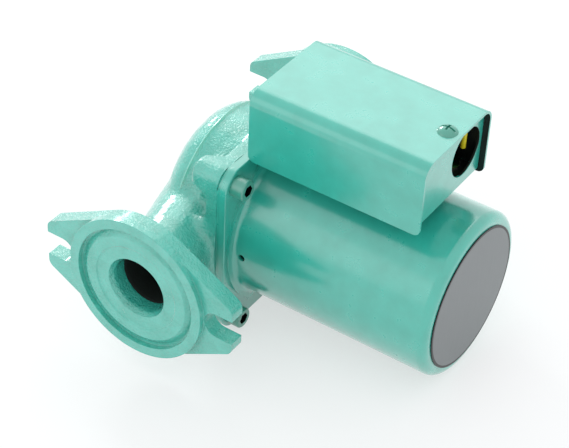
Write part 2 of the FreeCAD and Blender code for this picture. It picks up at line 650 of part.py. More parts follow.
def terminal_base():
    """Folded sheet base: floor, two end plates and the tab for the cover screw."""
    w, t = BASE_HALF_W, SHEET_T
    floor = block(BASE_X0, BASE_X1, -w, w, BASE_BOTTOM, BASE_FLOOR)
    near_end = block(BASE_X0, BASE_X0 + t, -w, w, BASE_BOTTOM, BASE_TOP)
    far_end = block(BASE_X1 - t, BASE_X1, -w, w, BASE_BOTTOM, BASE_TOP)
    top_r = COVER_BEND_R - t
    ends = []
    for plate in (near_end, far_end):
        corners = [e for e in plate.Edges if e.BoundBox.XLength > 0.5 and e.BoundBox.YLength < 1e-6
                   and e.BoundBox.ZLength < 1e-6 and abs(e.BoundBox.ZMax - BASE_TOP) < 1e-6]
        ends.append(plate.makeFillet(top_r, corners))
    tab = block(SCREW_TAB_X0, BASE_X1, -8, 8, BASE_TOP - t, BASE_TOP)
    base = fused([floor, tab] + ends)
    base = base.cut(rod_x(CONDUIT_R, BASE_X1 - t - 1, BASE_X1 + 1, CONDUIT_OFFSET, CONDUIT_Z))
    base = base.cut(rod_x(CONDUIT_R + FIT, BASE_X0 - 1, BASE_X0 + t + 1, 0, CONDUIT_Z))
    base = base.cut(rod_z(LEAD_HOLE_R, BASE_BOTTOM - 1, BASE_FLOOR + 1, LEAD_X))
    base = base.cut(rod_z(SCREW_R + FIT, BASE_TOP - t - 1, BASE_TOP + 1, COVER_SCREW_X))
    for x in box_screw_places():
        base = base.cut(rod_z(SCREW_R + FIT, BASE_BOTTOM - 1, BASE_FLOOR + 1, x, BOX_SCREW_DY))
    return base.cut(rod_z(SCREW_R + FIT, BASE_BOTTOM - 1, BASE_FLOOR + 1, ground_screw_x(),
                          GROUND_SCREW_DY))


def knockout_disc():
    """Closed conduit knockout in the end plate beside the casing."""
    return rod_x(CONDUIT_R, BASE_X0, BASE_X0 + SHEET_T, 0, CONDUIT_Z)


def terminal_cover():
    w, r, t = BOX_HALF_W, COVER_BEND_R, SHEET_T
    outer = block(BOX_X, BOX_END_X, -w, w, FLAP_BOTTOM, BOX_TOP)
    inner = block(BOX_X - 1, BOX_END_X + 1, -w + t, w - t, FLAP_BOTTOM - 1, BOX_TOP - t)

    def long_edges(shape, z):
        return [e for e in shape.Edges if e.BoundBox.XLength > BOX_LENGTH - 1
                and abs(e.BoundBox.ZMin - z) < 1e-6 and abs(e.BoundBox.ZMax - z) < 1e-6]

    cover = outer.makeFillet(r, long_edges(outer, BOX_TOP))
    cover = cover.cut(inner.makeFillet(r - t, long_edges(inner, BOX_TOP - t)))
    flap_corners = [e for e in cover.Edges if e.BoundBox.XLength < 1e-6 and e.BoundBox.ZLength < 1e-6
                    and abs(e.BoundBox.ZMin - FLAP_BOTTOM) < 1e-6]
    cover = cover.makeFillet(FLAP_CORNER_R, flap_corners)
    cover = cover.cut(rod_z(SCREW_R + 2 * FIT, BOX_TOP - t - 1, BOX_TOP + 1, COVER_SCREW_X))
    side_hole = Part.makeCylinder(SCREW_R + FIT, 2 * t, at_shaft(SIDE_SCREW_X, w - 1.5 * t, SIDE_SCREW_Z),
                                  Y_AXIS)
    return cover.cut(side_hole)


def pan_head(z, height, x, dy=0.0, radius=SCREW_HEAD_R):
    """Domed screw head with a cross recess, standing on z."""
    sphere_r = (radius ** 2 + height ** 2) / (2 * height)
    ball = Part.makeSphere(sphere_r, at_shaft(x, dy, z + height - sphere_r))
    head = ball.common(rod_z(radius, z, z + height + 1, x, dy))
    for length, width in ((1.75 * radius, 0.9), (0.9 * radius, 1.0)):
        slot = block(x - length / 2, x + length / 2, dy - width / 2, dy + width / 2,
                     z + height * 0.45, z + height + 1)
        if length < radius:
            slot = block(x - width / 2, x + width / 2, dy - length / 2, dy + length / 2,
                         z + height * 0.45, z + height + 1)
        head = head.cut(slot)
    return head


def cover_screw():
    head = pan_head(BOX_TOP, 2.4, COVER_SCREW_X)
    shank = rod_z(SCREW_R, BASE_TOP - SHEET_T - 4.0, BOX_TOP + 0.5, COVER_SCREW_X)
    return head.fuse(shank).removeSplitter()


SIDE_SCREW_X = BOX_X + 15.5
SIDE_SCREW_Z = BOX_TOP - 9.0
SIDE_SCREW_HEAD_R = 3.0


def cover_side_screw():
    """Small earth screw in the discharge-side flap of the cover."""
    screw = pan_head(0, 1.8, 0, -SHAFT_Y, SIDE_SCREW_HEAD_R)
    screw = screw.fuse(Part.makeCylinder(SCREW_R, 3.2, V(0, 0, -2.4), Z_AXIS)).removeSplitter()
    screw.rotate(V(0, 0, 0), X_AXIS, -90)
    screw.translate(at_shaft(SIDE_SCREW_X, BOX_HALF_W, SIDE_SCREW_Z))
    return screw


def box_screws():
    screws = []
    for x in box_screw_places():
        shank = rod_z(SCREW_R, HOUSING_R + 0.2, BASE_FLOOR + 0.5, x, BOX_SCREW_DY)
        screws.append(pan_head(BASE_FLOOR, 2.0, x, BOX_SCREW_DY, 3.6).fuse(shank).removeSplitter())
    return Part.makeCompound(screws)


GROUND_SCREW_DY = 19.0


def ground_screw_x():
    return BASE_X1 - 10.0


TERMINAL_T = 0.8
GROUND_HEAD_AF = 7.0


def ground_screw():
    x, dy, seat = ground_screw_x(), GROUND_SCREW_DY, BASE_FLOOR + TERMINAL_T
    head = hex_rod_z(GROUND_HEAD_AF, seat, seat + 2.6, x, dy)
    shank = rod_z(SCREW_R, BASE_BOTTOM - 1.5, seat + 1.0, x, dy)
    return head.fuse(shank).removeSplitter()


BARREL_OFFSET = 6.6
BARREL_T = 0.6
BARREL_L = 6.0


def ground_terminal():
    """Ring under the earth screw with an upright barrel for the green lead."""
    x, dy, top = ground_screw_x(), GROUND_SCREW_DY, BASE_FLOOR + TERMINAL_T
    ring = rod_z(4.2, BASE_FLOOR, top, x, dy)
    tongue = block(x - BARREL_OFFSET, x, dy - 1.8, dy + 1.8, BASE_FLOOR, top)
    barrel = rod_z(LEAD_R + BARREL_T, BASE_FLOOR, top + BARREL_L, x - BARREL_OFFSET, dy)
    terminal = fused([ring, tongue, barrel])
    terminal = terminal.cut(rod_z(SCREW_R + FIT, BASE_FLOOR - 1, top + 1, x, dy))
    return terminal.cut(rod_z(LEAD_R + FIT, top, top + BARREL_L + 1, x - BARREL_OFFSET, dy))


CAPACITOR_X = BASE_X0 + SHEET_T + 4.0
CAPACITOR_DY = -BASE_HALF_W + CAPACITOR_R + 2.0
CAPACITOR_TOP = BASE_FLOOR + CAPACITOR_H
TAB_H = 4.5
TAB_DY = (-5.0, 5.0)


def capacitor():
    """Motor run capacitor: an oval can standing on the floor of the box."""
    x0, x1 = CAPACITOR_X + CAPACITOR_R, CAPACITOR_X + CAPACITOR_L - CAPACITOR_R
    rounds = [rod_z(CAPACITOR_R, BASE_FLOOR, CAPACITOR_TOP, x, CAPACITOR_DY) for x in (x0, x1)]
    middle = block(x0, x1, CAPACITOR_DY - CAPACITOR_R, CAPACITOR_DY + CAPACITOR_R,
                   BASE_FLOOR, CAPACITOR_TOP)
    can = fused(rounds + [middle])
    top = [e for e in can.Edges if abs(e.BoundBox.ZMin - CAPACITOR_TOP) < 1e-6]
    return can.makeFillet(1.5, top)


def tab_x():
    return CAPACITOR_X + CAPACITOR_L - CAPACITOR_R + 2.0


def capacitor_tabs():
    tabs = [block(tab_x() - 3.2, tab_x() + 3.2, CAPACITOR_DY + dy - 0.4, CAPACITOR_DY + dy + 0.4,
                  CAPACITOR_TOP, CAPACITOR_TOP + TAB_H) for dy in TAB_DY]
    return Part.makeCompound(tabs)


STRAP_T = 0.8
STRAP_HALF_W = 4.0
STRAP_FOOT_L = 9.0


def capacitor_strap():
    """Bent strip over the capacitor, its foot on the floor of the box."""
    x = CAPACITOR_X + CAPACITOR_L / 2 - 2.0
    x0, x1 = x - STRAP_HALF_W, x + STRAP_HALF_W
    near = CAPACITOR_DY - CAPACITOR_R - FIT
    far = CAPACITOR_DY + CAPACITOR_R + FIT
    top = CAPACITOR_TOP + FIT
    outer = block(x0, x1, near - STRAP_T, far + STRAP_T, BASE_FLOOR, top + STRAP_T)
    inner = block(x0 - 1, x1 + 1, near, far, BASE_FLOOR - 1, top)
    foot = block(x0, x1, far, far + STRAP_FOOT_L, BASE_FLOOR, BASE_FLOOR + STRAP_T)
    return fused([outer.cut(inner), foot])


def lead_foot(degrees):
    """Where one lead stands in the grommet, and where its run starts."""
    angle = math.radians(degrees)
    x, dy = LEAD_X + LEAD_CIRCLE_R * math.cos(angle), LEAD_CIRCLE_R * math.sin(angle)
    winding_top = math.sqrt((SLOT_ROOT_R - 0.3) ** 2 - dy ** 2)
    return x, dy, winding_top + AIR_GAP


def lead(degrees, stations):
    """An insulated lead from the windings, up the grommet and along its route."""
    x, dy, z = lead_foot(degrees)
    points = [at_shaft(x, dy, z)] + [at_shaft(*p) for p in stations(x, dy)]
    return bent_rod(points, LEAD_R, LEAD_BEND_R)


CROWN_Z = BASE_TOP - 6.0          # highest leads under the cover


def yellow_route(x, dy):
    return [(x, dy, CROWN_Z - 3), (BASE_X1 - 9, 10, CROWN_Z), (BASE_X1 - 5, 19, CROWN_Z - 2),
            (BASE_X1 - 6, 21, CROWN_Z - 14)]


def green_route(x, dy):
    barrel_x = ground_screw_x() - BARREL_OFFSET
    return [(x, dy, CROWN_Z - 8), (LEAD_X + 7.4, 9, CROWN_Z - 4), (BASE_X1 - 6, 15, CROWN_Z - 6),
            (barrel_x, GROUND_SCREW_DY, CROWN_Z - 10),
            (barrel_x, GROUND_SCREW_DY, BASE_FLOOR + TERMINAL_T + 0.5)]


def white_route(x, dy):
    return [(x, dy, BASE_FLOOR + 6), (LEAD_X + 5, 7.5, BASE_FLOOR + 9), (BASE_X1 - 6, 9, BASE_FLOOR + 8)]


def black_route(x, dy):
    return [(x, dy, BASE_FLOOR + 9), (BASE_X1 - 11, -7, BASE_FLOOR + 14), (BASE_X1 - 6, 2, BASE_FLOOR + 13)]


def tab_route(tab_dy, height):
    def route(x, dy):
        end_dy = CAPACITOR_DY + tab_dy
        return [(x, dy, height), (tab_x() + 9, end_dy, height),
                (tab_x() + 4.4, end_dy, CAPACITOR_TOP + TAB_H / 2)]
    return route


def capacitor_leads():
    return Part.makeCompound([lead(270, tab_route(TAB_DY[0], CROWN_Z - 5)),
                              lead(210, tab_route(TAB_DY[1], CROWN_Z))])


def build_all():
    save("volute_casing", volute_casing())
    save("casing_gasket", casing_gasket())
    save("impeller", impeller())
    save("impeller_shroud", impeller_shroud())
    save("rotor_shaft", rotor_shaft())
    save("rotor_core", rotor_core())
    save("rotor_end_rings", rotor_end_rings())
    save("thrust_washer", thrust_washer())
    save("thrust_cushion", thrust_cushion())
    save("cartridge_flange", cartridge_flange())
    save("rotor_can", rotor_can())
    save("front_bearing_plate", front_bearing_plate())
    save("front_bearing", bearing(FRONT_BEARING_X, FRONT_BEARING_L))
    save("rear_bearing", bearing(REAR_BEARING_X, REAR_BEARING_L))
    save("rear_bearing_holder", rear_bearing_holder())
    save("motor_flange", motor_flange())
    save("motor_housing", motor_housing())
    save("stator_core", stator_core())
    save("main_winding", main_winding())
    save("start_winding", start_winding())
    save("nameplate", nameplate())
    save("housing_bolts", housing_bolts())
    save("box_saddle", box_saddle())
    save("lead_grommet", lead_grommet())
    save("terminal_base", terminal_base())
    save("knockout_disc", knockout_disc())
    save("terminal_cover", terminal_cover())
    save("cover_screw", cover_screw())
    save("cover_side_screw", cover_side_screw())
    save("box_screws", box_screws())
    save("ground_screw", ground_screw())
    save("capacitor", capacitor())
    save("capacitor_tabs", capacitor_tabs())
    save("capacitor_strap", capacitor_strap())
    save("ground_terminal", ground_terminal())
    save("yellow_lead", lead(30, yellow_route))
    save("green_lead", lead(150, green_route))
    save("white_lead", lead(90, white_route))
    save("black_lead", lead(330, black_route))
    save("capacitor_leads", capacitor_leads())


os.makedirs("parts", exist_ok=True)
build_all()
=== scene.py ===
"""Looks of an in-line water circulator pump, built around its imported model.

The pump is a sand-cast water end with two slotted port flanges, a drawn motor
shell across the pipe line and a folded sheet terminal box on top.  Lengths are
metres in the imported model's frame: +Y is the way the water flows, +X runs
along the motor shaft to the closed end, +Z is up to the terminal box.
"""
import json
import logging
import math
from dataclasses import dataclass
from enum import Enum

import bpy
from mathutils import Euler, Matrix, Vector

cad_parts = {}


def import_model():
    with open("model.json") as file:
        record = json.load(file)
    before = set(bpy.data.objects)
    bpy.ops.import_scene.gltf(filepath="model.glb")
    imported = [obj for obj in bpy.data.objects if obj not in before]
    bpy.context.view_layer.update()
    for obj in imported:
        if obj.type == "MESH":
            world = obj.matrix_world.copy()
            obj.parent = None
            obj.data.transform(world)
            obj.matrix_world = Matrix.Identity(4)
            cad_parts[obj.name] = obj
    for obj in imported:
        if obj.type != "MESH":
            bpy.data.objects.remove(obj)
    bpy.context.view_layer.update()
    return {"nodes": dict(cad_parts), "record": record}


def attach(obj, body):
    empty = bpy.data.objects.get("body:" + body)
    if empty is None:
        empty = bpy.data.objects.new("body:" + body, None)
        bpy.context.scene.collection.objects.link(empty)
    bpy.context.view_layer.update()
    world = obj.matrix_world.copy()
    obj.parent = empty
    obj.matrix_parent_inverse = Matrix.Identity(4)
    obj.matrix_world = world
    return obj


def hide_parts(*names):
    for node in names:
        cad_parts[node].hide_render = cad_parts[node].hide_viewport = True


log = logging.getLogger("pump")

MM = 0.001
MERGE = 0.002 * MM           # corners of loose triangles nearer than this are one
FLAT_DEGREES = 0.3           # triangles flatter than this to each other are one face


class Body(Enum):
    """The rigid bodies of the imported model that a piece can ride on."""

    PUMP = "pump_body"
    ROTOR = "rotor"
    COVER = "terminal_cover"
    SCREW = "cover_screw"


class Grain(Enum):
    """Which way the fine lines of a worked metal or a wound coil run."""

    AROUND_SHAFT = (1.0, 0.02, 0.02)
    NONE = (1.0, 1.0, 1.0)


# ---- materials ---------------------------------------------------------------
def linear(colour: str) -> tuple[float, float, float, float]:
    """Turns an sRGB hex colour into linear red, green, blue and alpha.

    Args:
        colour: Six hex digits after a hash sign.

    Returns:
        The linear colour with an alpha of 1.
    """
    channels = [int(colour[i:i + 2], 16) / 255 for i in (1, 3, 5)]
    red, green, blue = (c / 12.92 if c <= 0.04045 else ((c + 0.055) / 1.055) ** 2.4
                        for c in channels)
    return red, green, blue, 1.0


def add_node(tree: bpy.types.NodeTree, kind: str, settings: dict | None = None,
             links: dict | None = None) -> bpy.types.Node:
    """Adds one node with its settings and incoming links.

    Args:
        tree: The node tree to add to.
        kind: Blender's name of the node type.
        settings: Values by input socket name or index, else by property name.
        links: Source node and output name, by input socket name or index.

    Returns:
        The new node.
    """
    node = tree.nodes.new(kind)
    for key, value in (settings or {}).items():
        if isinstance(key, int) or key in node.inputs:
            node.inputs[key].default_value = value
        else:
            setattr(node, key, value)
    for key, (source, output) in (links or {}).items():
        tree.links.new(source.outputs[output], node.inputs[key])
    return node


def blank_material(name: str) -> tuple[bpy.types.Material, bpy.types.NodeTree]:
    """Makes a material with an empty node tree.

    Args:
        name: The material's name.

    Returns:
        The material and its node tree.
    """
    material = bpy.data.materials.new(name)
    material.use_nodes = True
    material.node_tree.nodes.clear()
    return material, material.node_tree


def close_material(tree: bpy.types.NodeTree, settings: dict, links: dict) -> None:
    """Adds the surface shader and the output.

    Args:
        tree: The material's node tree.
        settings: Constant values of the shader's sockets.
        links: Linked sockets of the shader.
    """
    shader = add_node(tree, "ShaderNodeBsdfPrincipled", settings, links)
    add_node(tree, "ShaderNodeOutputMaterial", links={"Surface": (shader, "BSDF")})


@dataclass(frozen=True)
class Enamel:
    """Air-dried gloss enamel over steel or iron.

    Paint shows a clear wet gloss.  Over sand-cast iron the gloss breaks up into
    sparkling points on the grain of the sand; over sheet it only ripples.
    """

    name: str
    colour: str
    pooled: str
    roughness: float
    grain_mm: float
    grain_depth_mm: float
    ripple_mm: float
    ripple_depth_mm: float
    coat: float = 0.0

    def build(self) -> bpy.types.Material:
        """Makes the enamel's node material."""
        material, tree = blank_material(self.name)
        place = add_node(tree, "ShaderNodeTexCoord")
        grain = add_node(tree, "ShaderNodeTexNoise",
                         {"Scale": 1 / (self.grain_mm * MM), "Detail": 3.0, "Roughness": 0.6},
                         {"Vector": (place, "Object")})
        ripple = add_node(tree, "ShaderNodeTexNoise",
                          {"Scale": 1 / (self.ripple_mm * MM), "Detail": 2.0},
                          {"Vector": (place, "Object")})
        # paint lies thicker in some places: patches about 9 mm across
        patches = add_node(tree, "ShaderNodeTexNoise",
                           {"Scale": 1 / (9 * MM), "Detail": 4.0, "Roughness": 0.55},
                           {"Vector": (place, "Object")})
        spread = add_node(tree, "ShaderNodeMapRange",
                          {"From Min": 0.35, "From Max": 0.7},
                          {"Value": (patches, "Fac")})
        tone = add_node(tree, "ShaderNodeMix",
                        {"data_type": "RGBA", 6: linear(self.colour), 7: linear(self.pooled)},
                        {0: (spread, "Result")})
        gloss = add_node(tree, "ShaderNodeMapRange",
                         {"To Min": self.roughness - 0.05, "To Max": self.roughness + 0.07},
                         {"Value": (patches, "Fac")})
        waves = add_node(tree, "ShaderNodeBump",
                         {"Strength": 1.0, "Distance": self.ripple_depth_mm * MM},
                         {"Height": (ripple, "Fac")})
        sand = add_node(tree, "ShaderNodeBump",
                        {"Strength": 1.0, "Distance": self.grain_depth_mm * MM},
                        {"Height": (grain, "Fac"), "Normal": (waves, "Normal")})
        close_material(tree, {"IOR": 1.85, "Coat Weight": self.coat, "Coat Roughness": 0.16},
                       {"Base Color": (tone, 2), "Roughness": (gloss, "Result"),
                        "Normal": (sand, "Normal")})
        return material


@dataclass(frozen=True)
class Metal:
    """Bare or thinly plated metal with fine tool or rolling lines."""

    name: str
    colour: str
    dark: str
    roughness: float
    line_mm: float
    grain: Grain = Grain.NONE
    depth_mm: float = 0.01

    def build(self) -> bpy.types.Material:
        """Makes the metal's node material."""
        material, tree = blank_material(self.name)
        place = add_node(tree, "ShaderNodeTexCoord")
        scale = add_node(tree, "ShaderNodeMapping", {"Scale": self.grain.value},
                         {"Vector": (place, "Object")})
        lines = add_node(tree, "ShaderNodeTexNoise",
                         {"Scale": 1 / (self.line_mm * MM), "Detail": 4.0},
                         {"Vector": (scale, "Vector")})
        tone = add_node(tree, "ShaderNodeMix",
                        {"data_type": "RGBA", 6: linear(self.colour), 7: linear(self.dark)},
                        {0: (lines, "Fac")})
        gloss = add_node(tree, "ShaderNodeMapRange",
                         {"To Min": self.roughness - 0.08, "To Max": self.roughness + 0.1},
                         {"Value": (lines, "Fac")})
        bump = add_node(tree, "ShaderNodeBump", {"Strength": 1.0, "Distance": self.depth_mm * MM},
                        {"Height": (lines, "Fac")})
        close_material(tree, {"Metallic": 1.0},
                       {"Base Color": (tone, 2), "Roughness": (gloss, "Result"),
                        "Normal": (bump, "Normal")})
        return material


@dataclass(frozen=True)
class Moulded:
    """Moulded plastic, rubber or a fired body, with the texture of its mould."""

    name: str
    colour: str
    shade: str
    roughness: float
    grain_mm: float
    depth_mm: float
    ior: float = 1.46

    def build(self) -> bpy.types.Material:
        """Makes the moulded material's nodes."""
        material, tree = blank_material(self.name)
        place = add_node(tree, "ShaderNodeTexCoord")
        grain = add_node(tree, "ShaderNodeTexNoise",
                         {"Scale": 1 / (self.grain_mm * MM), "Detail": 3.0},
                         {"Vector": (place, "Object")})
        flow = add_node(tree, "ShaderNodeTexNoise",
                        {"Scale": 1 / (self.grain_mm * 8 * MM), "Detail": 2.0},
                        {"Vector": (place, "Object")})
        tone = add_node(tree, "ShaderNodeMix",
                        {"data_type": "RGBA", 6: linear(self.colour), 7: linear(self.shade)},
                        {0: (flow, "Fac")})
        gloss = add_node(tree, "ShaderNodeMapRange",
                         {"To Min": self.roughness - 0.06, "To Max": self.roughness + 0.08},
                         {"Value": (flow, "Fac")})
        bump = add_node(tree, "ShaderNodeBump", {"Strength": 1.0, "Distance": self.depth_mm * MM},
                        {"Height": (grain, "Fac")})
        close_material(tree, {"IOR": self.ior},
                       {"Base Color": (tone, 2), "Roughness": (gloss, "Result"),
                        "Normal": (bump, "Normal")})
        return material


@dataclass(frozen=True)
class Striped:
    """Stacked or wound metal: stamped laminations, or turns of enamelled wire."""

    name: str
    colour: str
    gap: str
    roughness: float
    pitch_mm: float
    metallic: float

    def build(self) -> bpy.types.Material:
        """Makes the striped material's nodes, one stripe every pitch along the shaft."""
        material, tree = blank_material(self.name)
        place = add_node(tree, "ShaderNodeTexCoord")
        # a wave texture repeats every 2 pi / 20 of its scaled length
        sheets = add_node(tree, "ShaderNodeTexWave",
                          {"Scale": math.pi / 10 / (self.pitch_mm * MM), "Distortion": 0.4,
                           "bands_direction": "X"},
                          {"Vector": (place, "Object")})
        tone = add_node(tree, "ShaderNodeMix",
                        {"data_type": "RGBA", 6: linear(self.gap), 7: linear(self.colour)},
                        {0: (sheets, "Fac")})
        bump = add_node(tree, "ShaderNodeBump", {"Strength": 1.0, "Distance": 0.1 * MM},
                        {"Height": (sheets, "Fac")})
        close_material(tree, {"Metallic": self.metallic, "Roughness": self.roughness},
                       {"Base Color": (tone, 2), "Normal": (bump, "Normal")})
        return material


@dataclass(frozen=True)
class PrintedFoil:
    """Satin aluminium foil disc, printed dark grey all over inside a black border."""

    name: str
    colour: str
    worn: str
    border: str
    centre: tuple[float, float, float]
    border_r: float

    def build(self) -> bpy.types.Material:
        """Makes the foil's nodes, with its border at a radius from the shaft axis."""
        material, tree = blank_material(self.name)
        place = add_node(tree, "ShaderNodeTexCoord")
        level = add_node(tree, "ShaderNodeMapping",
                         {"Location": tuple(-c for c in self.centre)},
                         {"Vector": (place, "Object")})
        flat = add_node(tree, "ShaderNodeVectorMath",
                        {"operation": "MULTIPLY", 1: (0.0, 1.0, 1.0)},
                        {0: (level, "Vector")})
        radius = add_node(tree, "ShaderNodeVectorMath", {"operation": "LENGTH"},
                          {0: (flat, "Vector")})
        edge = add_node(tree, "ShaderNodeMath",
                        {"operation": "GREATER_THAN", 1: self.border_r},
                        {0: (radius, "Value")})
        # rolling lines of the foil, drawn 0.6 mm apart so that they show
        rolled = add_node(tree, "ShaderNodeMapping", {"Scale": (1.0, 1.0, 0.04)},
                          {"Vector": (place, "Object")})
        lines = add_node(tree, "ShaderNodeTexNoise", {"Scale": 1 / (0.6 * MM), "Detail": 3.0},
                         {"Vector": (rolled, "Vector")})
        ink = add_node(tree, "ShaderNodeMix",
                       {"data_type": "RGBA", 6: linear(self.colour), 7: linear(self.worn)},
                       {0: (lines, "Fac")})
        tone = add_node(tree, "ShaderNodeMix",
                        {"data_type": "RGBA", 7: linear(self.border)},
                        {0: (edge, "Value"), 6: (ink, 2)})
        bump = add_node(tree, "ShaderNodeBump", {"Strength": 0.4, "Distance": 0.01 * MM},
                        {"Height": (lines, "Fac")})
        close_material(tree, {"Metallic": 0.35, "Roughness": 0.34},
                       {"Base Color": (tone, 2), "Normal": (bump, "Normal")})
        return material


class Finishes:
    """All finishes of the pump, each built once and kept by its slot in the record."""

    def __init__(self) -> None:
        """Builds every material."""
        # enamel over sand-cast iron: a wet gloss that the grain of the sand breaks up
        cast = Enamel("sea_green_enamel_on_sand_cast_iron", "#44bcab", "#34ac9a",
                      roughness=0.24, grain_mm=1.1, grain_depth_mm=0.6,
                      ripple_mm=5.0, ripple_depth_mm=0.5, coat=1.0)
        # the same enamel over smooth sheet: long clear reflections with a slight ripple
        sheet = Enamel("sea_green_enamel_on_drawn_sheet", "#2db19f", "#26a694",
                       roughness=0.28, grain_mm=0.9, grain_depth_mm=0.004,
                       ripple_mm=3.0, ripple_depth_mm=0.012, coat=1.0)
        # a lean coat over plated screws: greyer and a little duller than the sheet
        screws = Enamel("sea_green_enamel_on_steel_screws", "#3d9a87", "#2f8774",
                        roughness=0.32, grain_mm=0.8, grain_depth_mm=0.05,
                        ripple_mm=2.0, ripple_depth_mm=0.06, coat=0.5)
        # on the mould seam a much paler enamel: a painted highlight along the crease
        seam = Enamel("mould_seam_enamel_with_painted_highlight", "#8fd6c6", "#6cc4b0",
                      roughness=0.24, grain_mm=1.1, grain_depth_mm=0.1,
                      ripple_mm=5.0, ripple_depth_mm=0.1, coat=1.0)
        # inside the box a flat black, painted shade; in the water ways unpainted iron, darkened to
        # near black as painted shade
        primer = Moulded("black_baked_primer", "#0e1413", "#161d1b",
                         roughness=0.5, grain_mm=1.0, depth_mm=0.02)
        iron = Moulded("unpainted_iron_darkened_as_painted_shade", "#101613", "#1b211e",
                       roughness=0.75, grain_mm=1.2, depth_mm=0.12)
        self.seam, self.primer, self.iron = seam.build(), primer.build(), iron.build()
        made = {
            "green_cast_paint": cast,
            "green_sheet_paint": sheet,
            "green_fastener_paint": screws,
            # drawn stainless: faint rings round the shaft from the drawing die
            "stainless": Metal("drawn_stainless_sheet", "#b9bcbe", "#9b9fa2",
                               roughness=0.32, line_mm=0.7, grain=Grain.AROUND_SHAFT),
            # ground faces of carbon and alumina: smooth, with a soft low gloss
            "carbon": Moulded("ground_carbon", "#1b1b1d", "#26262a",
                              roughness=0.38, grain_mm=0.5, depth_mm=0.01, ior=1.7),
            "alumina": Moulded("ground_white_alumina", "#e6e3da", "#d9d4c8",
                               roughness=0.3, grain_mm=0.5, depth_mm=0.006, ior=1.7),
            # rubber and nylon: matt, with the fine grain of their moulds
            "black_rubber": Moulded("moulded_black_rubber", "#161616", "#202020",
                                    roughness=0.6, grain_mm=0.6, depth_mm=0.03),
            "impeller_plastic": Moulded("glass_filled_moulded_nylon", "#232325", "#2d2d30",
                                        roughness=0.5, grain_mm=0.7, depth_mm=0.03),
            "saddle_plastic": Moulded("moulded_black_nylon", "#151817", "#1f2322",
                                      roughness=0.5, grain_mm=0.8, depth_mm=0.03),
            # sheets half a millimetre thick, drawn 1 mm apart so that they show
            "lamination_steel": Striped("stacked_silicon_steel", "#7b7e82", "#3a3c3f",
                                        roughness=0.42, pitch_mm=1.0, metallic=1.0),
            # die-cast aluminium: pale and slightly rough all over
            "die_cast_aluminium": Metal("die_cast_aluminium", "#c9cbce", "#a9acb0",
                                        roughness=0.42, line_mm=1.4, depth_mm=0.05),
            # turns of enamelled wire side by side: red-brown bands with a soft gloss
            "winding_copper": Striped("enamelled_copper_wire", "#b0602c", "#5b2a12",
                                      roughness=0.35, pitch_mm=0.9, metallic=0.8),
            # satin foil: a soft grey sheen inside a thin black border
            "nameplate_foil": PrintedFoil("printed_aluminium_foil", "#707476", "#7a7e80",
                                          "#101112", centre=(0.0, 81 * MM, 0.0),
                                          border_r=31.4 * MM),
            # plated and blackened steel, and tinned brass: small mirror-like parts
            "zinc_steel": Metal("bright_zinc_plate", "#c3c6c9", "#a4a8ad",
                                roughness=0.3, line_mm=0.9),
            "dark_steel": Metal("black_oxide_steel", "#1d1e1f", "#2b2c2d",
                                roughness=0.4, line_mm=0.8),
            "tinned_brass": Metal("tinned_brass_strip", "#c9c2a6", "#aaa386",
                                  roughness=0.33, line_mm=0.8),
            "earth_green": Metal("green_dyed_zinc", "#1d6b35", "#134d25",
                                 roughness=0.35, line_mm=0.8),
            # the capacitor's polyester case: near black with a clear gloss
            "capacitor_case": Moulded("gloss_moulded_polyester", "#1c1c1f", "#28282b",
                                      roughness=0.25, grain_mm=1.0, depth_mm=0.01),
        }
        # extruded vinyl over the leads: even colour with a waxy gloss
        insulation = {"yellow": ("#dccf2a", "#c9b91c"), "pale_green": ("#7fc78c", "#6ab57a"),
                      "white": ("#e2e2dc", "#d4d4cc"), "black": ("#151515", "#202020"),
                      "brown": ("#4a2a17", "#3a1f10")}
        for hue, (colour, shade) in insulation.items():
            vinyl = Moulded(f"{hue}_extruded_vinyl", colour, shade,
                            roughness=0.32, grain_mm=1.2, depth_mm=0.01)
            made[f"{hue.removeprefix('pale_')}_insulation"] = vinyl
        self.by_slot = {slot: finish.build() for slot, finish in made.items()}

    def dress(self, piece: bpy.types.Object, slot: str) -> None:
        """Gives a piece one finish on every slot, except slots that hold a kept finish.

        Args:
            piece: The mesh object.
            slot: The record's name of the finish.
        """
        if not piece.material_slots:
            piece.data.materials.append(None)
        for place in piece.material_slots:
            if place.material is None or place.material.name not in self.kept():
                place.material = self.by_slot[slot]

    def kept(self) -> tuple[str, ...]:
        """Names the finishes that a piece wears under or beside its main one."""
        return self.seam.name, self.primer.name, self.iron.name, self.by_slot["dark_steel"].name


# ---- modelling ---------------------------------------------------------------
def select_only(obj: bpy.types.Object) -> None:
    """Deselects everything, then selects one object and makes it active."""
    bpy.ops.object.select_all(action="DESELECT")
    obj.select_set(True)
    bpy.context.view_layer.objects.active = obj


def apply_all(obj: bpy.types.Object) -> None:
    """Applies every modifier of an object, in order."""
    select_only(obj)
    for name in [m.name for m in obj.modifiers]:
        bpy.ops.object.modifier_apply(modifier=name)


def settle(obj: bpy.types.Object) -> None:
    """Puts an object's place, turn and size into its mesh."""
    select_only(obj)
    bpy.ops.object.transform_apply(location=True, rotation=True, scale=True)


def join_all(parts: list[bpy.types.Object], name: str) -> bpy.types.Object:
    """Joins closed shells into one object.

    Args:
        parts: The objects to join.
        name: The joined object's name.

    Returns:
        The joined object, its place in its mesh.
    """
    for part in parts:
        settle(part)
    select_only(parts[0])
    for part in parts[1:]:
        part.select_set(True)
    bpy.ops.object.join()
    parts[0].name = name
    parts[0].data.name = name
    return parts[0]


def smooth_shade(obj: bpy.types.Object, degrees: float) -> None:
    """Shades an object smooth across edges flatter than an angle."""
    select_only(obj)
    bpy.ops.object.shade_smooth_by_angle(angle=math.radians(degrees))


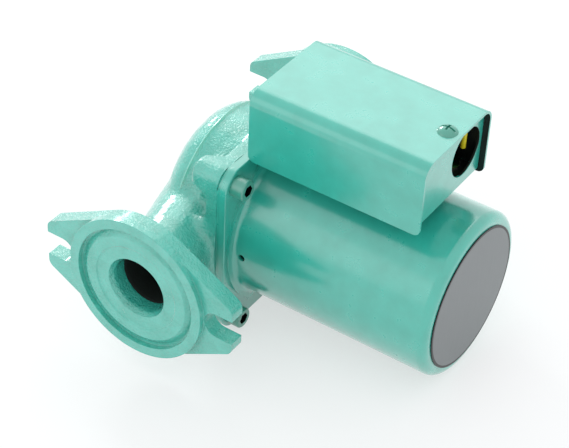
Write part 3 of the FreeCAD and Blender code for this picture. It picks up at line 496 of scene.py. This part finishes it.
def flat_faces(obj: bpy.types.Object, degrees: float) -> None:
    """Shades an object smooth, with the light on each broad face kept level.

    Args:
        obj: The mesh object.
        degrees: Edges sharper than this stay sharp.
    """
    smooth_shade(obj, degrees)
    level = obj.modifiers.new("level", "WEIGHTED_NORMAL")
    level.mode = "FACE_AREA"
    level.weight = 50
    level.keep_sharp = True
    apply_all(obj)


def cad_copy(node: str, name: str) -> bpy.types.Object:
    """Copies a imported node's mesh and merges its loose triangles.

    Args:
        node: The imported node's name.
        name: The new piece's name.

    Returns:
        The copy, with one closed mesh of its own.
    """
    source = bpy.data.objects[node]
    copy = bpy.data.objects.new(name, source.data.copy())
    bpy.context.scene.collection.objects.link(copy)
    copy.data.name = name
    select_only(copy)
    if copy.data.has_custom_normals:
        bpy.ops.mesh.customdata_custom_splitnormals_clear()
    bpy.ops.object.mode_set(mode="EDIT")
    bpy.ops.mesh.select_all(action="SELECT")
    bpy.ops.mesh.remove_doubles(threshold=MERGE)
    bpy.ops.mesh.dissolve_limited(angle_limit=math.radians(FLAT_DEGREES))
    bpy.ops.object.mode_set(mode="OBJECT")
    return copy


def broken_edges(node: str, edge_mm: float) -> bpy.types.Object:
    """Copies a node and rounds its sharp edges, as paint and tumbling do.

    Args:
        node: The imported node's name.
        edge_mm: Width of the rounding.

    Returns:
        The finished mesh, not yet dressed.
    """
    piece = cad_copy(node, node + "_piece")
    bevel = piece.modifiers.new("broken edge", "BEVEL")
    bevel.width = edge_mm * MM
    bevel.segments = 2
    bevel.limit_method = "ANGLE"
    bevel.angle_limit = math.radians(35)
    bevel.use_clamp_overlap = True
    bevel.harden_normals = False
    apply_all(piece)
    flat_faces(piece, degrees=40)
    return piece


def place_piece(piece: bpy.types.Object, body: Body, slot: str, nodes: tuple[str, ...],
                finishes: Finishes) -> None:
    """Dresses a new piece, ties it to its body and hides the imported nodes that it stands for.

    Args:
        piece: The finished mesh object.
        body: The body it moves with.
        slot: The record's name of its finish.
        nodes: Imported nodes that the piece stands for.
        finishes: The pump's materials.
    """
    finishes.dress(piece, slot)
    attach(piece, body.value)
    if nodes:
        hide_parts(*nodes)
    log.info("piece %s: %d faces on %s", piece.name, len(piece.data.polygons), body.value)


@dataclass
class Casing:
    """The sand-cast water end: round casing, two necks, lugs and port flanges."""

    shaft_y: float = 81 * MM
    span: float = 162 * MM
    drum_r: float = 39.5 * MM
    joint_x: float = 14 * MM
    ridge_x: float = -11 * MM
    dome_depth: float = 18 * MM
    plate_half: float = 43 * MM
    plate_t: float = 5 * MM
    plate_corner_r: float = 10 * MM
    lug_r: float = 7.5 * MM
    lug_offset: float = 35.53 * MM
    flange_t: float = 10 * MM
    pad_r: float = 27 * MM                # round pad behind each flange's raised face
    pad_half_t: float = 1.55 * MM
    pad_middle: float = 1.6 * MM          # in front of the flange's back face
    neck_r: float = 15.6 * MM
    neck_sunk: float = 3 * MM             # the neck starts this deep in the flange
    inlet_root: tuple[float, float] = (-8 * MM, 55 * MM)
    inlet_root_r: float = 19.5 * MM
    outlet_root: tuple[float, float] = (-6.5 * MM, 107 * MM)
    outlet_root_r: float = 19.6 * MM
    bore_r: float = 12.7 * MM
    bore_clear: float = 0.6 * MM          # inside the flanges only their own bores show
    inlet_bend_y: float = 24 * MM
    outlet_bend_y: float = 132 * MM
    eye_way_r: float = 8.5 * MM           # the way from the inlet's bend to the eye
    eye_way: tuple[float, float] = (-14 * MM, 45 * MM)
    eye_r: float = 11.5 * MM
    eye_front_x: float = -12.5 * MM
    throat_r: float = 5.5 * MM
    throat: tuple[float, float] = (5 * MM, 108 * MM)
    chamber_r: float = 35 * MM
    chamber_back_x: float = -1 * MM
    bolt_hole_r: float = 3.3 * MM
    bolt_hole_end_x: float = 2.2 * MM
    blend_r: float = 3.2 * MM             # paint and metal fill each corner to this
    paint_round: float = 0.5 * MM         # on the machined flanges' edges
    voxel: float = 0.9 * MM
    hollow_voxel: float = 0.75 * MM

    def rod(self, radius: float, start: Vector, end: Vector, end_radius: float | None = None,
            sides: int = 96) -> bpy.types.Object:
        """Makes a closed rod or sheared cone whose ends are square to one axis.

        Args:
            radius: Radius at the start.
            start: Centre of the start circle.
            end: Centre of the end circle.
            end_radius: Radius at the end, if it differs.
            sides: Facets round the rod.

        Returns:
            The rod.
        """
        reach = end - start
        along = Vector((1, 0, 0)) if abs(reach.x) > abs(reach.y) else Vector((0, 1, 0))
        if (end - start).dot(along) < 0:
            # made from its other end, so that its faces look outwards
            start, end = end, start
            radius, end_radius = (radius if end_radius is None else end_radius), radius
        depth = (end - start).dot(along)
        turn = along.to_track_quat("Z", "Y").to_euler()
        bpy.ops.object.select_all(action="DESELECT")
        bpy.ops.mesh.primitive_cone_add(
            vertices=sides, radius1=radius,
            radius2=radius if end_radius is None else end_radius,
            depth=depth, location=start + along * depth / 2, rotation=turn)
        rod = bpy.context.active_object
        settle(rod)
        slip = (end - start) - along * depth
        if slip.length > 1e-9:
            far = (start + along * depth).dot(along)
            bpy.ops.object.mode_set(mode="EDIT")
            bpy.ops.mesh.select_mode(type="VERT")
            bpy.ops.mesh.select_all(action="DESELECT")
            bpy.ops.object.mode_set(mode="OBJECT")
            for vertex in rod.data.vertices:
                vertex.select = abs(vertex.co.dot(along) - far) < 1e-6
            bpy.ops.object.mode_set(mode="EDIT")
            bpy.ops.transform.translate(value=slip)
            bpy.ops.object.mode_set(mode="OBJECT")
        return rod

    def slab(self, low: Vector, high: Vector, turn: float = 0.0) -> bpy.types.Object:
        """Makes a block between two corners, then turns it about the shaft axis."""
        bpy.ops.object.select_all(action="DESELECT")
        bpy.ops.mesh.primitive_cube_add(size=1, location=(low + high) / 2)
        block = bpy.context.active_object
        block.scale = high - low
        settle(block)
        if turn:
            axis = Vector((0, self.shaft_y, 0))
            block.data.transform(Matrix.Translation(axis) @ Matrix.Rotation(turn, 4, "X")
                                 @ Matrix.Translation(-axis))
        return block

    def bolt_places(self) -> list[Vector]:
        """Gives the four bolt axes at x = 0."""
        return [Vector((0, self.shaft_y + a * self.lug_offset, b * self.lug_offset))
                for a in (-1, 1) for b in (-1, 1)]

    def joint_plate(self) -> bpy.types.Object:
        """Makes the square bolting flange with its round corners."""
        half = self.plate_half - 0.1 * MM
        plate = self.slab(Vector((self.joint_x - self.plate_t, self.shaft_y - half, -half)),
                          Vector((self.joint_x, self.shaft_y + half, half)))
        bpy.ops.object.mode_set(mode="EDIT")
        bpy.ops.mesh.select_all(action="DESELECT")
        bpy.ops.object.mode_set(mode="OBJECT")
        for edge in plate.data.edges:
            a, b = (plate.data.vertices[i].co for i in edge.vertices)
            edge.select = abs((a - b).x) > 1e-4
        bpy.ops.object.mode_set(mode="EDIT")
        bpy.ops.mesh.select_mode(type="EDGE")
        bpy.ops.mesh.bevel(offset=self.plate_corner_r, segments=10, affect="EDGES")
        bpy.ops.object.mode_set(mode="OBJECT")
        return plate

    def shells(self) -> list[bpy.types.Object]:
        """Makes the plain shells that the casting is made up of."""
        centre = Vector((0, self.shaft_y, 0))
        parts = [self.rod(self.drum_r, centre + Vector((self.ridge_x, 0, 0)),
                          centre + Vector((self.joint_x, 0, 0)), sides=160)]
        bpy.ops.object.select_all(action="DESELECT")
        bpy.ops.mesh.primitive_uv_sphere_add(segments=160, ring_count=80, radius=1.0,
                                             location=centre + Vector((self.ridge_x, 0, 0)))
        dome = bpy.context.active_object
        dome.scale = (self.dome_depth, self.drum_r, self.drum_r)
        settle(dome)
        parts.append(dome)
        start = self.flange_t - self.neck_sunk
        parts.append(self.rod(self.neck_r, Vector((0, start, 0)),
                              Vector((*self.inlet_root, 0)), self.inlet_root_r))
        parts.append(self.rod(self.neck_r, Vector((0, self.span - start, 0)),
                              Vector((*self.outlet_root, 0)), self.outlet_root_r))
        for y in (self.flange_t - self.pad_middle, self.span - self.flange_t + self.pad_middle):
            parts.append(self.rod(self.pad_r, Vector((0, y - self.pad_half_t, 0)),
                                  Vector((0, y + self.pad_half_t, 0))))
        parts.append(self.joint_plate())
        reach = math.hypot(self.lug_offset, self.lug_offset)
        for place in self.bolt_places():
            parts.append(self.rod(self.lug_r, place, place + Vector((self.joint_x, 0, 0)),
                                  sides=48))
            turn = math.atan2(place.z, place.y - self.shaft_y)
            parts.append(self.slab(Vector((0, self.shaft_y, -self.lug_r)),
                                   Vector((self.joint_x, self.shaft_y + reach, self.lug_r)), turn))
        return parts

    def remesh(self, obj: bpy.types.Object, voxel: float) -> None:
        """Rebuilds a mesh as one even skin round all its shells."""
        skin = obj.modifiers.new("skin", "REMESH")
        skin.mode = "VOXEL"
        skin.voxel_size = voxel
        skin.use_smooth_shade = True
        apply_all(obj)

    def swell(self, obj: bpy.types.Object, distance: float) -> None:
        """Moves a skin along its normals by a distance."""
        push = obj.modifiers.new("swell", "DISPLACE")
        push.mid_level = 0.0
        push.strength = distance
        push.direction = "NORMAL"
        apply_all(obj)

    def lumps(self, obj: bpy.types.Object, name: str, size_mm: float, depth_mm: float) -> None:
        """Sinks a skin unevenly, as a sand mould leaves it; nothing stands proud.

        Args:
            obj: The cast skin.
            name: Name of the cloud texture.
            size_mm: Width of one lump.
            depth_mm: Largest sink.
        """
        cloud = bpy.data.textures.new(name, "CLOUDS")
        cloud.noise_scale = size_mm * MM
        cloud.noise_depth = 2
        sink = obj.modifiers.new(name, "DISPLACE")
        sink.texture = cloud
        sink.texture_coords = "GLOBAL"
        sink.mid_level = 1.0
        sink.strength = depth_mm * MM
        apply_all(obj)

    def hollows(self) -> bpy.types.Object:
        """Makes the chamber, water passages and bolt holes as one cutter."""
        centre = Vector((0, self.shaft_y, 0))
        past, lap = 1 * MM, 0.2 * MM
        front, eye_x = self.joint_x + past, self.eye_way[0]
        clear = self.bore_r + self.bore_clear
        # radius, start (x, y), end (x, y) and end radius of each length of the water way
        ways = (
            (clear, (0, -past), (0, self.flange_t), clear),
            (clear, (0, self.span - self.flange_t), (0, self.span + past), clear),
            (self.bore_r, (0, -past), (0, self.inlet_bend_y + lap), self.bore_r),
            (self.bore_r, (0, self.inlet_bend_y), self.eye_way, self.eye_way_r),
            (self.eye_way_r, (eye_x, self.eye_way[1] - lap), (eye_x, self.shaft_y),
             self.eye_way_r),
            (self.eye_r, (self.eye_front_x, self.shaft_y), (0, self.shaft_y), self.eye_r),
            (self.throat_r, self.throat, (0, self.outlet_bend_y + lap), self.bore_r),
            (self.bore_r, (0, self.outlet_bend_y), (0, self.span + past), self.bore_r),
        )
        parts = [self.rod(self.chamber_r, centre + Vector((self.chamber_back_x, 0, 0)),
                          centre + Vector((front, 0, 0)))]
        parts += [self.rod(radius, Vector((*start, 0)), Vector((*end, 0)), end_radius)
                  for radius, start, end, end_radius in ways]
        parts += [self.rod(self.bolt_hole_r, place + Vector((self.bolt_hole_end_x, 0, 0)),
                           place + Vector((front, 0, 0)), sides=32)
                  for place in self.bolt_places()]
        cutter = join_all(parts, "casing_hollows")
        self.remesh(cutter, self.hollow_voxel)
        return cutter

    def cut(self, obj: bpy.types.Object, cutter: bpy.types.Object) -> None:
        """Takes a cutter out of an object and removes the cutter."""
        step = obj.modifiers.new("cut", "BOOLEAN")
        step.operation = "DIFFERENCE"
        step.solver = "EXACT"
        step.material_mode = "TRANSFER"
        step.object = cutter
        apply_all(obj)
        bpy.data.objects.remove(cutter)

    def body(self, finishes: "Finishes") -> bpy.types.Object:
        """Makes the cast body: shells skinned, corners filled, surface roughened, hollowed.

        Args:
            finishes: The pump's materials.

        Returns:
            The cast body, its water side unpainted iron, darkened to near black as painted shade.
        """
        casting = join_all(self.shells(), "casing_body")
        self.remesh(casting, self.voxel)
        self.swell(casting, self.blend_r)
        self.remesh(casting, self.voxel)
        self.swell(casting, -self.blend_r)
        self.remesh(casting, self.voxel)
        relax = casting.modifiers.new("relax", "SMOOTH")
        relax.factor = 0.5
        relax.iterations = 6
        apply_all(casting)
        self.lumps(casting, "mould_waves", size_mm=6.0, depth_mm=0.5)
        self.lumps(casting, "sand_lumps", size_mm=1.6, depth_mm=0.22)
        casting.data.materials.append(finishes.by_slot["green_cast_paint"])
        hollows = self.hollows()
        # the water ways get unpainted iron, darkened to near black as painted shade
        hollows.data.materials.append(finishes.iron)
        self.cut(casting, hollows)
        # the joint face is machined flat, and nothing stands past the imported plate
        half, skim = self.plate_half - 0.05 * MM, 0.45 * MM
        for vertex in casting.data.vertices:
            if vertex.co.x > self.joint_x - skim:
                vertex.co.x = self.joint_x
            vertex.co.z = max(-half, min(half, vertex.co.z))
        smooth_shade(casting, degrees=50)
        return casting

    def flange(self, outlet: bool) -> bpy.types.Object:
        """Makes one port flange: crisp face, groove and slots, edges rounded by paint.

        Args:
            outlet: True for the discharge side, False for the suction side.

        Returns:
            The flange, one closed shell that reaches a little into the casting.
        """
        piece = cad_copy("volute_casing", "outlet_flange" if outlet else "inlet_flange")
        # the rest of the casting is cut off just inside the flange's back face
        depth, reach = self.flange_t - 0.05 * MM, 90 * MM
        low, high = ((-reach, self.span - depth) if outlet else (depth, self.span + reach))
        self.cut(piece, self.slab(Vector((-reach, low, -reach)), Vector((reach, high, reach))))
        bevel = piece.modifiers.new("paint rounding", "BEVEL")
        bevel.width = self.paint_round
        bevel.segments = 3
        bevel.limit_method = "ANGLE"
        bevel.angle_limit = math.radians(30)
        apply_all(piece)
        flat_faces(piece, degrees=35)
        return piece

    def ridge(self) -> bpy.types.Object:
        """Makes the thin mould seam that stands round the casing at the dome's edge."""
        sunk, behind = 0.6 * MM, 0.4 * MM
        bpy.ops.object.select_all(action="DESELECT")
        bpy.ops.mesh.primitive_torus_add(
            major_segments=200, minor_segments=4, major_radius=self.drum_r - sunk,
            minor_radius=1.0 * MM, location=(self.ridge_x + behind, self.shaft_y, 0),
            rotation=(0, math.pi / 2, 0))
        seam = bpy.context.active_object
        seam.name = "mould_seam"
        settle(seam)
        smooth_shade(seam, degrees=30)
        return seam

    def build(self, finishes: Finishes) -> None:
        """Builds and places the whole casting."""
        place_piece(self.body(finishes), Body.PUMP, "green_cast_paint", ("volute_casing",),
                    finishes)
        for outlet in (False, True):
            place_piece(self.flange(outlet), Body.PUMP, "green_cast_paint", (), finishes)
        seam = self.ridge()
        # the seam wears the paler enamel, a painted highlight
        seam.data.materials.append(finishes.seam)
        place_piece(seam, Body.PUMP, "green_cast_paint", (), finishes)


@dataclass
class SheetAndScrews:
    """Drawn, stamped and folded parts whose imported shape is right: edges get broken."""

    edges_mm: tuple[tuple[str, Body, str, float], ...] = (
        ("motor_flange", Body.PUMP, "green_sheet_paint", 0.35),
        ("cartridge_flange", Body.PUMP, "green_sheet_paint", 0.3),
        ("terminal_cover", Body.COVER, "green_sheet_paint", 0.25),
        ("terminal_base", Body.PUMP, "green_sheet_paint", 0.25),
        ("housing_bolts", Body.PUMP, "green_fastener_paint", 0.25),
        ("cover_screw", Body.SCREW, "green_fastener_paint", 0.15),
    )

    box_centre: tuple[float, float, float] = (59.5 * MM, 81 * MM, 58 * MM)
    facing: float = 0.12                  # least cosine to the box's centre
    socket_r: float = 2.9 * MM
    under_socket_x: float = 21.0 * MM     # below the floor of the screws' sockets
    over_floor_x: float = 23 * MM         # just above that floor

    def second_finish(self, piece: bpy.types.Object, main: bpy.types.Material,
                      other: bpy.types.Material, chosen: list[bool]) -> None:
        """Gives chosen faces another finish than the rest.

        Args:
            piece: The mesh object.
            main: The finish of the other faces.
            other: The finish of the chosen faces.
            chosen: One flag for each face.
        """
        piece.data.materials.clear()
        piece.data.materials.append(main)
        piece.data.materials.append(other)
        piece.data.polygons.foreach_set("material_index", [int(flag) for flag in chosen])

    def facing_in(self, piece: bpy.types.Object) -> list[bool]:
        """Flags the faces that look into the terminal box, which get flat black inside as painted
        shade.
        """
        middle = Vector(self.box_centre)
        return [face.normal.dot((middle - face.center).normalized()) > self.facing
                for face in piece.data.polygons]

    def painted_shade_in_sockets(self, piece: bpy.types.Object) -> list[bool]:
        """Flags the walls and floors of the screws' sockets, black as painted shade and bare
        steel.
        """
        axes = Casing().bolt_places()
        flags = []
        for face in piece.data.polygons:
            centre = face.center
            off = min(math.hypot(centre.y - a.y, centre.z - a.z) for a in axes)
            wall_or_floor = abs(face.normal.x) < 0.5 or centre.x < self.over_floor_x
            flags.append(off < self.socket_r and centre.x > self.under_socket_x
                         and wall_or_floor)
        return flags

    def build(self, finishes: Finishes) -> None:
        """Builds and places each part with its edges broken."""
        for node, body, slot, edge in self.edges_mm:
            piece = broken_edges(node, edge)
            main = finishes.by_slot[slot]
            if node in ("terminal_cover", "terminal_base"):
                # faces looking into the box get flat black, a painted shade
                self.second_finish(piece, main, finishes.primer, self.facing_in(piece))
            elif node == "housing_bolts":
                # the sockets get black steel: bare where paint doesn't reach, and painted shade
                # deep in them
                self.second_finish(piece, main, finishes.by_slot["dark_steel"],
                                   self.painted_shade_in_sockets(piece))
            place_piece(piece, body, slot, (node,), finishes)


@dataclass(frozen=True)
class Lamp:
    """One square soft lamp: degrees round and up from the pump, metres and watts."""

    name: str
    azimuth: float
    elevation: float
    distance: float
    size: float
    power: float


@dataclass
class Studio:
    """Plain pale floor, soft lamps and the camera."""

    target: tuple[float, float, float] = (21.06 * MM, 81 * MM, -7.32 * MM)
    azimuth: float = 32.23
    elevation: float = 39.48
    roll: float = 3.05
    distance: float = 0.811
    lens: float = 116.2
    plate_edge_x: float = 18.7 * MM
    plate_low: float = -43 * MM
    shell_end_x: float = 110.8 * MM
    shell_low: float = -37.5 * MM
    floor_glow: float = 0.6               # share of the floor that is plain white to the eye
    world_light: float = 1.06             # on the pump; what is seen or mirrored is 1.0
    lamps: tuple[Lamp, ...] = (
        Lamp("key", 212, 44, 1.3, 0.9, 3.0),
        Lamp("fill", -32, 24, 1.4, 0.8, 1.2),
        Lamp("glint", -120, 24, 1.2, 0.22, 4.2),
    )

    @staticmethod
    def direction(azimuth: float, elevation: float) -> Vector:
        """Gives the unit vector from the pump, round from the suction side and up."""
        az, el = math.radians(azimuth), math.radians(elevation)
        return Vector((math.sin(az) * math.cos(el), -math.cos(az) * math.cos(el),
                       math.sin(el)))

    def camera(self) -> None:
        """Sets the camera on the line of sight, with no shift and no focus blur."""
        back = self.direction(self.azimuth, self.elevation)
        lens = bpy.data.cameras.new("camera")
        lens.lens = self.lens
        lens.sensor_width = 36
        lens.clip_start, lens.clip_end = 0.01, 20
        camera = bpy.data.objects.new("camera", lens)
        bpy.context.scene.collection.objects.link(camera)
        camera.rotation_mode = "QUATERNION"
        camera.location = Vector(self.target) + back * self.distance
        turned = Euler((0, 0, math.radians(self.roll))).to_quaternion()
        camera.rotation_quaternion = (-back).to_track_quat("-Z", "Y") @ turned
        bpy.context.scene.camera = camera

    def floor(self) -> None:
        """Lays the floor, sloped as the pump rests on its joint plate and its shell's end."""
        slope = math.atan2(self.shell_low - self.plate_low,
                           self.shell_end_x - self.plate_edge_x)
        bpy.ops.object.select_all(action="DESELECT")
        bpy.ops.mesh.primitive_plane_add(size=6.0,
                                         location=(self.plate_edge_x, 81 * MM, self.plate_low),
                                         rotation=(0, -slope, 0))
        floor = bpy.context.active_object
        floor.name = "floor"
        material, tree = blank_material("white_sweep")
        paper = add_node(tree, "ShaderNodeBsdfDiffuse", {"Color": linear("#f2f3f4")})
        glow = add_node(tree, "ShaderNodeEmission", {"Color": linear("#ffffff"), "Strength": 1.0})
        path = add_node(tree, "ShaderNodeLightPath")
        share = {"operation": "MULTIPLY", 1: self.floor_glow}
        seen = add_node(tree, "ShaderNodeMath", share, {0: (path, "Is Camera Ray")})
        mirrored = add_node(tree, "ShaderNodeMath", share, {0: (path, "Is Glossy Ray")})
        both = add_node(tree, "ShaderNodeMath", {"operation": "ADD"},
                        {0: (seen, "Value"), 1: (mirrored, "Value")})
        mix = add_node(tree, "ShaderNodeMixShader", links={
            0: (both, "Value"), 1: (paper, "BSDF"), 2: (glow, "Emission")})
        add_node(tree, "ShaderNodeOutputMaterial", links={"Surface": (mix, "Shader")})
        floor.data.materials.append(material)

    def hang(self, lamp: Lamp) -> None:
        """Hangs one lamp so that it faces the pump."""
        away = self.direction(lamp.azimuth, lamp.elevation)
        light = bpy.data.lights.new(lamp.name, "AREA")
        light.shape = "SQUARE"
        light.size = lamp.size
        light.energy = lamp.power
        hung = bpy.data.objects.new(lamp.name, light)
        bpy.context.scene.collection.objects.link(hung)
        hung.rotation_mode = "QUATERNION"
        hung.location = Vector(self.target) + away * lamp.distance
        hung.rotation_quaternion = (-away).to_track_quat("-Z", "Y")

    def world(self) -> None:
        """Lights the pump evenly from all round, with a white backdrop to look at."""
        world = bpy.data.worlds.new("white_room")
        bpy.context.scene.world = world
        world.use_nodes = True
        tree = world.node_tree
        tree.nodes.clear()
        path = add_node(tree, "ShaderNodeLightPath")
        clear = add_node(tree, "ShaderNodeMath", {"operation": "MAXIMUM"},
                         {0: (path, "Is Camera Ray"), 1: (path, "Is Transmission Ray")})
        seen = add_node(tree, "ShaderNodeMath", {"operation": "MAXIMUM"},
                        {0: (clear, "Value"), 1: (path, "Is Glossy Ray")})
        level = add_node(tree, "ShaderNodeMapRange", {"To Min": self.world_light, "To Max": 1.0},
                         {"Value": (seen, "Value")})
        sky = add_node(tree, "ShaderNodeBackground", {"Color": linear("#fbfeff")},
                       {"Strength": (level, "Result")})
        add_node(tree, "ShaderNodeOutputWorld", links={"Surface": (sky, "Background")})

    def build(self) -> None:
        """Sets up the whole studio."""
        self.camera()
        self.floor()
        self.world()
        for lamp in self.lamps:
            self.hang(lamp)
        bpy.context.scene.view_settings.view_transform = "Standard"


def main() -> None:
    """Builds the studio and the pump, and reports each piece."""
    logging.basicConfig(level=logging.INFO, format="%(message)s")
    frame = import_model()
    finishes = Finishes()
    Studio().build()
    slots = {part["node"]: part["material_slot"] for part in frame["record"]["subparts"]}
    for node, obj in frame["nodes"].items():
        finishes.dress(obj, slots[node])
    Casing().build(finishes)
    SheetAndScrews().build(finishes)
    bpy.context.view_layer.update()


if __name__ == "__main__":
    main()
